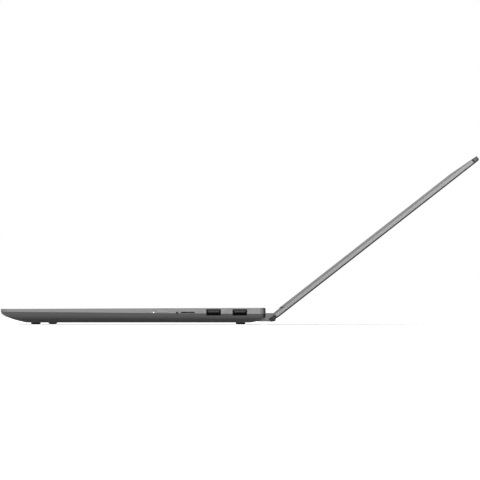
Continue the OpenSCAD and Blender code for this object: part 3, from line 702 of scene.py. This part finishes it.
def frame_band(outline: np.ndarray, profile: np.ndarray) -> Surface:
    """Carry a closed profile along a closed outline.

    Args:
        outline: (n, 2) points, anticlockwise.
        profile: (m, 2) points as (outwards, up), anticlockwise when seen against the run.

    Returns:
        Points and quads of a closed ring: outline point plus its outward normal times the first value.
    """
    ahead = np.roll(outline, -1, axis=0) - np.roll(outline, 1, axis=0)
    normal = np.column_stack([ahead[:, 1], -ahead[:, 0]])
    normal /= np.linalg.norm(normal, axis=1, keepdims=True)
    flat = outline[:, None, :] + normal[:, None, :] * profile[None, :, 0, None]
    points = np.concatenate([flat, np.broadcast_to(profile[None, :, 1, None], (*flat.shape[:2], 1))], axis=-1)
    count, across = len(outline), len(profile)
    i, j = np.meshgrid(np.arange(count), np.arange(across), indexing="ij")
    i2, j2 = (i + 1) % count, (j + 1) % across
    quads = np.stack([i * across + j, i2 * across + j, i2 * across + j2, i * across + j2], axis=-1)
    return points.reshape(-1, 3), quads.reshape(-1, 4).tolist()


@dataclass(frozen=True)
class Plane:
    """A frame of its own in the row frame: a place and a turn about X."""

    origin: np.ndarray
    lean: float

    def lay(self, surface: Surface, shift: Sequence[float] = (0, 0, 0)) -> Surface:
        """Move a surface within the plane, turn it about X by the lean and move it to the place.

        Args:
            surface: points in this plane's own frame, and faces.
            shift: the move within the plane.

        Returns:
            The surface in the row frame.
        """
        c, s = math.cos(self.lean), math.sin(self.lean)
        turn = np.array([[1, 0, 0], [0, c, -s], [0, s, c]])
        points, faces = surface
        return (points + np.array(shift)) @ turn.T + self.origin, faces


# ---- dressing the CAD nodes ----


class Wardrobe:
    """Makes each finish once and dresses the CAD nodes by the record's slots."""

    _made: dict[str, bpy.types.Material] = {}

    @classmethod
    def material(cls, key: str) -> bpy.types.Material:
        """Make a finish's material on first use.

        Args:
            key: the finish's key.

        Returns:
            The material.
        """
        if key not in cls._made:
            cls._made[key] = (FINISHES.get(key) or EXTRA_FINISHES[key]).make()
        return cls._made[key]

    @classmethod
    def dress(cls, node: str, slot: str, smooth: float = 32.0) -> None:
        """Give a CAD node its finish, and round its shading where faces meet at less than the angle.

        Args:
            node: the node's name.
            slot: its material slot.
            smooth: edges sharper than this stay sharp, in degrees.
        """
        piece = frame["nodes"][node]
        piece.data.materials.clear()
        piece.data.materials.append(cls.material(slot))
        piece.data.polygons.foreach_set("use_smooth", [True] * len(piece.data.polygons))
        piece.data.polygons.foreach_set("material_index", [0] * len(piece.data.polygons))
        weld = piece.modifiers.new("join_faces", "WELD")
        weld.merge_threshold = 0.002 * MM
        split = piece.modifiers.new("keep_edges", "EDGE_SPLIT")
        split.split_angle = math.radians(smooth)

    @classmethod
    def dress_all(cls) -> None:
        """Dress every CAD node."""
        for part in frame["record"]["subparts"]:
            cls.dress(part["node"], part["material_slot"])


# ---- keyboard ----


@dataclass
class KeyRow:
    """One row's node, the body it rides on, and its keys' widths in key units and legends."""

    node: str
    body: str
    widths: tuple[float, ...]
    legends: tuple[str, ...] = ()


@dataclass
class Keyboard:
    """Dished key caps over the keyboard's frame, in the deck's plane."""

    gap: float = 2.4 * MM
    corner: float = 1.5 * MM
    least_corner: float = 0.3 * MM
    edge: float = 0.45 * MM
    dish: float = 0.18 * MM
    taper: float = 0.12 * MM
    legend_height: float = 3.0 * MM

    @cached_property
    def deck(self) -> Plane:
        """The plane through the key tops, found from two rows' boxes."""
        near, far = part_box("space_bar")[1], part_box("function_row")[1]
        lean = math.atan2(far.z - near.z, far.y - near.y)
        return Plane(np.array([0, near.y, near.z]), lean)

    def cap(self, x0: float, x1: float, y0: float, y1: float) -> Surface:
        """One key cap: a tapered rounded block whose top sinks to a shallow dish.

        Side rings go up with a small taper, four rings round the edge, and the top's rings follow
        z = -dish * (1 - f^2), where f runs from 1 at the edge to 0 in the middle.

        Args:
            x0: left edge.
            x1: right edge.
            y0: near edge, in the deck's plane.
            y1: far edge, in the deck's plane.

        Returns:
            Points and faces of the cap, in the deck's plane.
        """
        edge_angles = np.radians([0, 30, 60, 90])
        insets = [0, self.taper * 0.5] + list(self.taper + self.edge * (1 - np.cos(edge_angles)))
        heights = [-CAP_HEIGHT, -CAP_HEIGHT / 2] + list(-self.edge + self.edge * np.sin(edge_angles))
        rings = inset_rings((x1 - x0, y1 - y0), insets, heights, (self.corner, self.least_corner), 5)
        f = np.array([0.75, 0.5, 0.25])[:, None]
        dished = np.stack([rings[-1, :, 0] * f, rings[-1, :, 1] * f,
                           np.broadcast_to(-self.dish * (1 - f * f), (3, rings.shape[1]))], axis=-1)
        points, faces = stacked_rings(np.concatenate([rings, dished]))
        points[-1, 2] = -self.dish
        return points + np.array([(x0 + x1) / 2, (y0 + y1) / 2, 0]), faces

    def legend(self, text: str, x: float, y: float, room: float) -> Surface:
        """A flat character centred on a key, laid just over its dish.

        Args:
            text: the character.
            x: the key's middle across.
            y: the key's middle along, in the deck's plane.
            room: depth of the key.

        Returns:
            Points and faces of the character, in the deck's plane.
        """
        curve = bpy.data.curves.new("legend", "FONT")
        curve.body = text
        curve.align_x, curve.align_y = "CENTER", "CENTER"
        curve.size = self.legend_height * 1.35
        holder = bpy.data.objects.new("legend", curve)
        bpy.context.scene.collection.objects.link(holder)
        mesh = bpy.data.meshes.new_from_object(holder.evaluated_get(bpy.context.evaluated_depsgraph_get()))
        flat = np.zeros(len(mesh.vertices) * 3)
        mesh.vertices.foreach_get("co", flat)
        faces = [list(p.vertices) for p in mesh.polygons]
        bpy.data.objects.remove(holder)
        bpy.data.curves.remove(curve)
        bpy.data.meshes.remove(mesh)
        points = flat.reshape(-1, 3)
        reach = np.clip(np.hypot(points[:, 0], points[:, 1]) / (room / 2), 0, 1)
        points[:, 2] = -self.dish * (1 - reach ** 2) + PRINT_LIFT
        return points + np.array([x, y, 0]), faces

    def rows(self) -> list[KeyRow]:
        """List the plain rows.

        Returns:
            The rows from the rearmost to the front, and the enter key.
        """
        return [
            KeyRow("function_row", "function_row_keys", (1,) * 15),
            KeyRow("number_row", "number_row_keys", (1,) * 13 + (1.75,), tuple("`1234567890-=")),
            KeyRow("upper_row", "upper_row_keys", (1.5,) + (1,) * 12 + (1.25,), ("",) + tuple("QWERTYUIOP[]\\")),
            KeyRow("home_row", "home_row_keys", (1.75,) + (1,) * 11, ("",) + tuple("ASDFGHJKL;'")),
            KeyRow("lower_row", "lower_row_keys", (2.25,) + (1,) * 10 + (2.5,), ("",) + tuple("ZXCVBNM,./")),
            KeyRow("space_bar", "space_bar_body", (1,)),
            KeyRow("enter_key", "enter_key_body", (1,)),
        ]

    def put(self, node: str, body: str, cells: list[tuple[float, float, float, float]],
            legends: Sequence[str] = ()) -> None:
        """Make a group of caps and its legends.

        Args:
            node: the node they replace.
            body: the body they ride on.
            cells: (x0, x1, y0, y1) of each cap in the row frame.
            legends: a character for each cap, or an empty string.
        """
        cells = [(x0, x1, *((y - self.deck.origin[1]) / math.cos(self.deck.lean) for y in along))
                 for x0, x1, *along in cells]
        caps = [self.cap(*cell) for cell in cells]
        piece = mesh_piece(node + "_caps", self.deck.lay(joined(caps)), "key_plastic", body, 50)
        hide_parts(node)
        marks = [self.legend(text, (x0 + x1) / 2, (y0 + y1) / 2, y1 - y0)
                 for (x0, x1, y0, y1), text in zip(cells, legends) if text]
        if marks:
            mesh_piece(node + "_legends", self.deck.lay(joined(marks)), "legend", body)

    def build(self) -> None:
        """Make all the caps: plain rows, the split bottom row, the cursor keys and the number pad."""
        for row in self.rows():
            low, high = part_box(row.node)
            unit = (high.x - low.x + self.gap) / sum(row.widths)
            left = low.x - self.gap / 2 + unit * np.concatenate([[0], np.cumsum(row.widths)])
            cells = [(a + self.gap / 2, b - self.gap / 2, low.y, high.y) for a, b in zip(left[:-1], left[1:])]
            self.put(row.node, row.body, cells, row.legends)
        self.bottom_row()
        self.arrows()
        self.number_pad()

    def bottom_row(self) -> None:
        """Make the keys on both sides of the space bar."""
        low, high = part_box("bottom_row")
        space_low, space_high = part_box("space_bar")
        unit = (space_low.x - low.x) / 4.25
        left = low.x - self.gap / 2 + unit * np.array([0, 1.25, 2.25, 3.25, 4.25])
        right = space_high.x + self.gap / 2 + unit * np.array([0, 1, 2.25])
        cells = [(a + self.gap / 2, b - self.gap / 2, low.y, high.y)
                 for edges in (left, right) for a, b in zip(edges[:-1], edges[1:])]
        self.put("bottom_row", "bottom_row_keys", cells)

    def arrows(self) -> None:
        """Make three half-height keys below and one above, with arrow marks."""
        low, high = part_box("arrow_keys")
        unit = (high.x - low.x + self.gap) / 3
        half = (high.y - low.y - self.gap) / 2
        x = low.x + unit * np.arange(3)
        cells = [(a, a + unit - self.gap, low.y, low.y + half) for a in x]
        cells.append((x[1], x[1] + unit - self.gap, high.y - half, high.y))
        self.put("arrow_keys", "arrow_keys_body", cells, ("<", "v", ">", "^"))

    def number_pad(self) -> None:
        """Make four columns: a short top row, a full row, a block of nine, a wide zero, a point and two tall keys."""
        low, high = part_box("number_pad")
        unit = (high.x - low.x + self.gap) / 4
        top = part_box("function_row")[0].y
        pitch = (top - low.y) / 5
        x = low.x + unit * np.arange(5)
        y = low.y + pitch * np.arange(6)
        cells = [(x[i], x[i + 1] - self.gap, top, high.y) for i in range(4)]
        cells += [(x[i], x[i + 1] - self.gap, y[4], y[5] - self.gap) for i in range(4)]
        cells += [(x[i], x[i + 1] - self.gap, y[j], y[j + 1] - self.gap) for j in (1, 2, 3) for i in range(3)]
        cells += [(x[a], x[b] - self.gap, y[c], y[d] - self.gap)
                  for a, b, c, d in ((0, 2, 0, 1), (2, 3, 0, 1), (3, 4, 0, 2), (3, 4, 2, 4))]
        marks = ["", "", "", "", "", "/", "*", "-", *"123456789", "0", ".", "=", "+"]
        self.put("number_pad", "number_pad_body", cells, marks)


# ---- the rest of the base ----


@dataclass
class Feet:
    """Domed rubber feet turned on a lathe: a flat rest, a quarter-sine side and a sharp top edge.

    The flat is a share of the foot's radius and the dome a share of its height.
    """

    flat: float = 0.55
    dome: float = 0.75

    def build(self) -> None:
        """Make a pair of feet in front and a pair at the rear."""
        for node in ("front_feet", "rear_feet"):
            low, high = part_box(node)
            radius, height = (high.y - low.y) / 2, high.z - low.z
            angle = np.radians(np.linspace(0, 90, 10))
            side = np.column_stack([radius * (self.flat + (1 - self.flat) * np.sin(angle)),
                                    height * self.dome * (1 - np.cos(angle))])
            profile = np.concatenate([[[radius * 0.2, 0], [radius * self.flat * 0.9, 0]], side, [[radius, height]]])
            points, faces = lathe(profile)
            feet = [(points + np.array([x, (low.y + high.y) / 2, low.z]), faces)
                    for x in (low.x + radius, high.x - radius)]
            piece = mesh_piece(node + "_domes", joined(feet), "foot_rubber", "base", 40)
            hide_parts(node)


@dataclass
class Touchpad:
    """Etched glass plate with a diamond-cut metal edge round the opening in the deck."""

    corner: float = 2.0 * MM
    thick: float = 1.2 * MM
    edge: float = 0.25 * MM
    rim: float = 0.35 * MM
    gap: float = 0.5 * MM

    def build(self, deck: Plane) -> None:
        """Make the plate and the cut edge of its opening.

        Args:
            deck: the plane through the key tops.
        """
        low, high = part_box("touchpad")
        centre = np.array([(low.x + high.x) / 2, (low.y + high.y) / 2, (high.z + low.z) / 2])
        width, depth = high.x - low.x, (high.y - low.y) / math.cos(deck.lean)
        insets = np.array([0.2 * MM, 0, 0, 0.3 * self.edge, self.edge, 6 * MM, 20 * MM])
        heights = np.array([-self.thick, -self.thick + 0.2 * MM, -self.edge, -0.3 * self.edge, 0, 0, 0])
        rings = inset_rings((width, depth), insets, heights, (self.corner, self.corner), 8)
        plate = Plane(centre + np.array([0, 0, self.thick / 2]), deck.lean)
        piece = mesh_piece("touchpad_plate", plate.lay(stacked_rings(rings)), "touchpad_glass", "touchpad_body",
                           40)
        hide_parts("touchpad")
        outline = rounded_outline(width + 2 * self.gap, depth + 2 * self.gap, self.corner + 0.3 * MM, 8)
        profile = np.array([[-0.05, -0.5], [self.rim / MM, 0.1], [self.rim / MM, 0.13], [-0.05, -0.38]]) * MM
        mesh_piece("touchpad_cut_edge", plate.lay(frame_band(outline, profile)), "chamfer", "base")


@dataclass
class Ports:
    """What shows inside the ports: gold contacts on the tongues and spring fingers in the sleeves."""

    contact_pitch: float = 2.4 * MM
    contact_width: float = 1.0 * MM
    tongue_width: float = 11 * MM
    sleeve_width: float = 13.2 * MM
    finger_length: float = 8 * MM
    finger_width: float = 1.8 * MM
    finger_thick: float = 0.12 * MM
    finger_bow: float = 0.55 * MM
    finger_spread: float = 3.2 * MM
    usb_c_spacing: float = 15 * MM

    def build(self) -> None:
        """Fill the USB-A, USB-C and HDMI ports."""
        self.usb_a_contacts()
        self.usb_a_springs()
        self.small_port_contacts("usb_c_tongues", [0.0, self.usb_c_spacing], 0.5 * MM, 12)
        self.small_port_contacts("hdmi_tongue", [0.0], 0.6 * MM, 18)

    def usb_a_contacts(self) -> None:
        """Four flat contacts under each tongue, set back from its end."""
        low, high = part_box("usb_a_tongues")
        parts = []
        for centre in (low.y + self.tongue_width / 2, high.y - self.tongue_width / 2):
            for k in (-1.5, -0.5, 0.5, 1.5):
                y = centre + k * self.contact_pitch
                parts.append(bar((low.x + 1.5 * MM, y - self.contact_width / 2, low.z - 0.12 * MM),
                                 (high.x - 0.8 * MM, y + self.contact_width / 2, low.z + 0.02 * MM), 0.05 * MM))
        mesh_piece("usb_a_contacts", joined(parts), "gold", "base")

    def usb_a_springs(self) -> None:
        """Two spring fingers in the floor of each sleeve: a strip that bows up by a half sine."""
        low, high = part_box("usb_a_shells")
        run = np.linspace(0, 1, 14)
        bow = np.sin(run * math.pi) * self.finger_bow
        x = high.x - 1.2 * MM - run * self.finger_length
        half, thick = self.finger_width / 2, self.finger_thick
        parts = []
        for centre in (low.y + self.sleeve_width / 2, high.y - self.sleeve_width / 2):
            for y in (centre - self.finger_spread, centre + self.finger_spread):
                rings = np.stack([np.column_stack([x, np.full(len(run), y + dy), low.z + 0.38 * MM + bow + dz])
                                  for dy, dz in ((-half, 0), (half, 0), (half, thick), (-half, thick))], axis=1)
                parts.append(stacked_rings(rings[::-1]))
        mesh_piece("usb_a_spring_fingers", joined(parts), "port_steel", "base")

    def small_port_contacts(self, node: str, places: list[float], inset: float, fingers: int) -> None:
        """Rows of thin contacts on both faces of each tongue.

        Args:
            node: the tongues' node.
            places: each tongue's distance from the first one.
            inset: how far the contacts start from the tongue's root.
            fingers: contacts on each face.
        """
        low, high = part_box(node)
        width = high.y - low.y - places[-1]
        pitch = (width - 1.0 * MM) / fingers
        parts = []
        for centre in low.y + width / 2 + np.array(places):
            for y in centre + pitch * (np.arange(fingers) - (fingers - 1) / 2):
                for z0, z1 in ((high.z - 0.02 * MM, high.z + 0.05 * MM), (low.z - 0.05 * MM, low.z + 0.02 * MM)):
                    parts.append(bar((low.x + inset, y - pitch * 0.28, z0),
                                     (low.x + inset + 4 * MM, y + pitch * 0.28, z1), 0.02 * MM))
        mesh_piece(node + "_contacts", joined(parts), "gold", "base")


@dataclass
class SideMarks:
    """Faint etched pictograms beside the USB-A ports: the plain outline of a plug."""

    size: tuple[float, float] = (3.0 * MM, 1.5 * MM)
    line: float = 0.22 * MM
    lift: float = 0.002 * MM
    height: float = 11.9 * MM
    ahead: float = 5.2 * MM
    sleeve_width: float = 13.2 * MM

    def build(self) -> None:
        """Etch one mark in front of each port on the right-hand side."""
        low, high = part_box("usb_a_shells")
        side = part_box("top_case")[1].x
        parts = []
        for y in (low.y - self.ahead, high.y - self.sleeve_width - self.ahead):
            outline = rounded_outline(*self.size, 0.4 * MM, 5)
            profile = np.array([[0, -0.03 * MM], [self.line, -0.03 * MM], [self.line, self.lift], [0, self.lift]])
            points, faces = frame_band(outline, profile)
            turned = np.column_stack([points[:, 2] + side, points[:, 0] + y, points[:, 1] + self.height])
            parts.append((turned, faces))
        mesh_piece("port_marks", joined(parts), "mark", "base")


# ---- lid ----


@dataclass
class LidDetails:
    """The camera's domed lens and its ring, in the lid's own plane."""

    lens_radius: float = 1.7 * MM
    from_tip: float = 3.8 * MM

    def build(self) -> None:
        """Make the lens and its ring on the glass, near the lid's tip."""
        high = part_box("cover_glass")[1]
        plane = Plane(np.array([0, high.y - GLASS_THICK * math.sin(LID_LEAN), high.z]), LID_LEAN)
        place = (0, -self.from_tip, 0)
        angle = np.radians(np.linspace(0, 90, 8))
        dome = np.column_stack([self.lens_radius * np.cos(angle), 0.10 * MM * np.sin(angle)])
        profile = np.concatenate([[[self.lens_radius * 0.5, -0.1 * MM], [self.lens_radius, -0.1 * MM]], dome[:-1],
                                  [[self.lens_radius * 0.12, 0.10 * MM]]])
        mesh_piece("camera_lens", plane.lay(lathe(profile, 36), place), "lens", "lid", 60)
        outline = rounded_outline(2 * self.lens_radius, 2 * self.lens_radius, self.lens_radius * 0.999, 12)
        band = np.array([[0.02, -0.05], [0.3, -0.05], [0.3, 0.02], [0.15, 0.05], [0.02, 0.02]]) * MM
        mesh_piece("camera_ring", plane.lay(frame_band(outline, band), place), "chamfer", "lid")


# ---- stage ----


@dataclass
class Studio:
    """White floor and surround, a broad key light, a side light, and a long lens level with the base."""

    distance: float = 3.0
    eye: float = 7.2 * MM
    aim: float = 80.1 * MM
    frame_width: float = 454.7 * MM
    horizon: float = 0.3
    zenith: float = 1.3
    side_shade: float = 0.65
    floor_glow: float = 0.18

    def camera(self) -> None:
        """Look along -X from the right-hand side, just above the table, pitched up to the middle of the lid."""
        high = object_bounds()[1]
        data = bpy.data.cameras.new("camera")
        data.sensor_width = 36.0
        data.lens = data.sensor_width * self.distance / self.frame_width
        data.clip_start, data.clip_end = 0.05, 60.0
        camera = bpy.data.objects.new("camera", data)
        camera.location = (high.x + self.distance, 0.0, self.eye)
        aim = Vector((high.x, 0.0, self.aim))
        camera.rotation_euler = (aim - camera.location).to_track_quat("-Z", "Y").to_euler()
        bpy.context.scene.collection.objects.link(camera)
        bpy.context.scene.camera = camera

    def area(self, name: str, place: tuple[float, float, float], size: float, power: float) -> None:
        """One square soft light aimed at the laptop.

        Args:
            name: the light's name.
            place: its place.
            size: its width.
            power: its power in watts.
        """
        data = bpy.data.lights.new(name, "AREA")
        data.energy, data.size = power, size
        lamp = bpy.data.objects.new(name, data)
        lamp.location = place
        lamp.rotation_euler = (Vector((0, 0, 0.05)) - lamp.location).to_track_quat("-Z", "Y").to_euler()
        bpy.context.scene.collection.objects.link(lamp)

    def floor(self) -> None:
        """A wide pale floor that glows more away from the laptop, like a light table, and is clear from below."""
        mesh = bpy.data.meshes.new("floor")
        reach = 30.0
        mesh.from_pydata([(-reach, -reach, 0), (reach, -reach, 0), (reach, reach, 0), (-reach, reach, 0)], [],
                         [(0, 1, 2, 3)])
        floor = bpy.data.objects.new("floor", mesh)
        bpy.context.scene.collection.objects.link(floor)
        material = bpy.data.materials.new("white_sweep")
        material.use_nodes = True
        tree = material.node_tree
        shader = tree.nodes["Principled BSDF"]
        for key, value in {"Base Color": linear("fafafa"), "Roughness": 0.9, "Specular IOR Level": 0.1,
                           "Emission Color": (1, 1, 1, 1)}.items():
            shader.inputs[key].default_value = value
        where = add_node(tree, "ShaderNodeTexCoord").outputs["Object"]
        reach_out = add_node(tree, "ShaderNodeVectorMath", {"operation": "LENGTH"}, {0: where})
        glow = add_node(tree, "ShaderNodeMapRange",
                        {"From Min": 0.45, "From Max": 1.1, "To Min": self.floor_glow, "To Max": 1.0},
                        {"Value": reach_out.outputs["Value"]})
        tree.links.new(glow.outputs["Result"], shader.inputs["Emission Strength"])
        clear = add_node(tree, "ShaderNodeBsdfTransparent")
        under = add_node(tree, "ShaderNodeNewGeometry").outputs["Backfacing"]
        one_sided = add_node(tree, "ShaderNodeMixShader",
                             links={0: under, 1: shader.outputs["BSDF"], 2: clear.outputs["BSDF"]})
        tree.links.new(one_sided.outputs["Shader"], tree.nodes["Material Output"].inputs["Surface"])
        mesh.materials.append(material)
        floor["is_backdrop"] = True

    def world(self) -> None:
        """White surround for the camera that lights like a softbox ceiling: dim at the horizon, bright overhead."""
        world = bpy.data.worlds.new("studio")
        world.use_nodes = True
        tree = world.node_tree
        ray = add_node(tree, "ShaderNodeTexCoord").outputs["Generated"]
        parts = add_node(tree, "ShaderNodeSeparateXYZ", links={"Vector": ray})
        sky = add_node(tree, "ShaderNodeMapRange",
                       {"From Min": 0.0, "From Max": 0.75, "To Min": self.horizon, "To Max": self.zenith},
                       {"Value": parts.outputs["Z"]})
        seen = add_node(tree, "ShaderNodeLightPath").outputs["Is Camera Ray"]
        sideways = add_node(tree, "ShaderNodeMath", {"operation": "ABSOLUTE"}, {0: parts.outputs["Y"]})
        shade = add_node(tree, "ShaderNodeMath", {"operation": "MULTIPLY_ADD", 1: -self.side_shade, 2: 1.0},
                         {0: sideways.outputs[0]})
        room = add_node(tree, "ShaderNodeMath", {"operation": "MULTIPLY"},
                        {0: sky.outputs["Result"], 1: shade.outputs[0]})
        level = add_node(tree, "ShaderNodeMath", {"operation": "MAXIMUM"}, {0: room.outputs[0], 1: seen})
        background = tree.nodes["Background"]
        background.inputs["Color"].default_value = (1, 1, 1, 1)
        tree.links.new(level.outputs[0], background.inputs["Strength"])
        bpy.context.scene.world = world
        bpy.context.scene.view_settings.view_transform = "Standard"

    def build(self) -> None:
        """Set up the camera, surround, floor and lights."""
        self.camera()
        self.world()
        self.floor()
        self.area("key", (0.6, -0.5, 1.6), 1.2, 18)
        self.area("side", (2.2, 0.3, 0.9), 1.0, 10)


def main() -> None:
    """Build the whole visual model round the frame."""
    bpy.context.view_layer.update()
    Studio().build()
    Wardrobe.dress_all()
    keyboard = Keyboard()
    keyboard.build()
    Touchpad().build(keyboard.deck)
    Feet().build()
    Ports().build()
    SideMarks().build()
    LidDetails().build()


if __name__ == "__main__":
    main()
